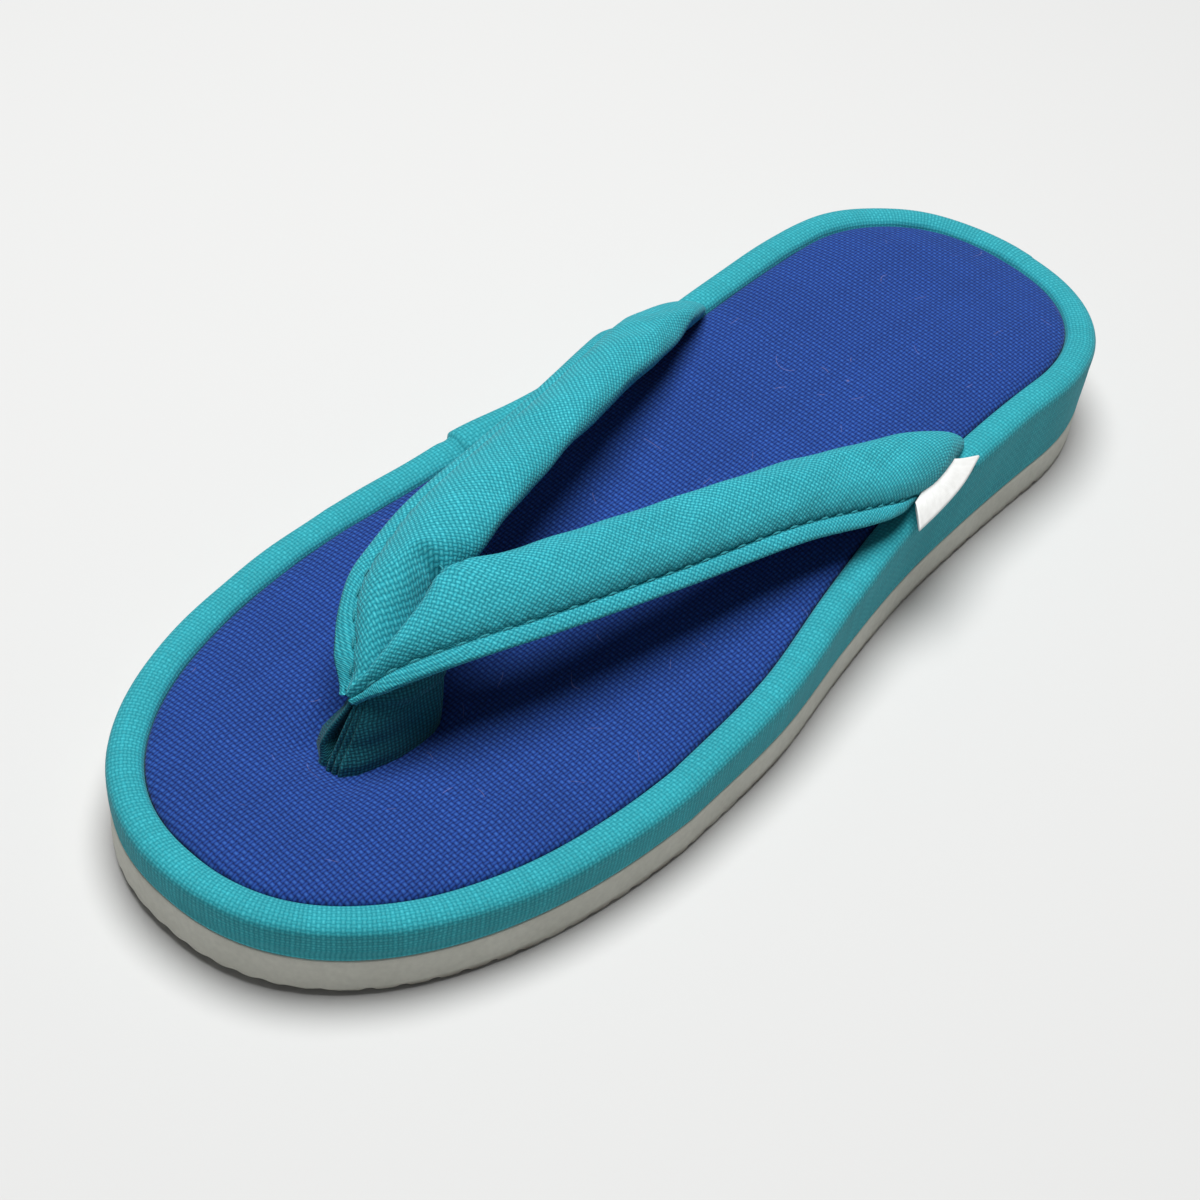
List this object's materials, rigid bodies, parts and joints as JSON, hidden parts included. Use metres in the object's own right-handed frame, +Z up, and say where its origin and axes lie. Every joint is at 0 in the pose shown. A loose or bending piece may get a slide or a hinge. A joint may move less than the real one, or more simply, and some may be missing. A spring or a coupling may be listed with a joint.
{
  "type": "zori sandal",
  "caption": "Flat padded thong sandal for the left foot: ribbed outsole, cloth-wrapped wedge, padded insole, V-shaped padded straps and a folded toe post.",
  "frame": {"origin": "on the floor, under the middle of the sandal's length and width", "axes": "+X towards the toe, +Y towards the wearer's left, which is the outer side of this left shoe, +Z up"},
  "size_m": [0.2506, 0.0978, 0.0458],
  "materials": {
    "sole_foam": "matte moulded foam rubber, off-white",
    "wrap_canvas": "plain-weave cotton canvas, teal",
    "footbed_canvas": "plain-weave cotton canvas, royal blue",
    "strap_canvas": "plain-weave cotton canvas, teal, padded",
    "post_canvas": "folded plain-weave cotton canvas, teal",
    "ribbon": "woven satin ribbon, white, bare"
  },
  "bodies": {
    "root": {"outsole": "sole_foam", "midsole": "wrap_canvas", "insole": "footbed_canvas", "upper": "strap_canvas", "toe_post": "post_canvas", "label": "ribbon"}
  },
  "joints": []
}
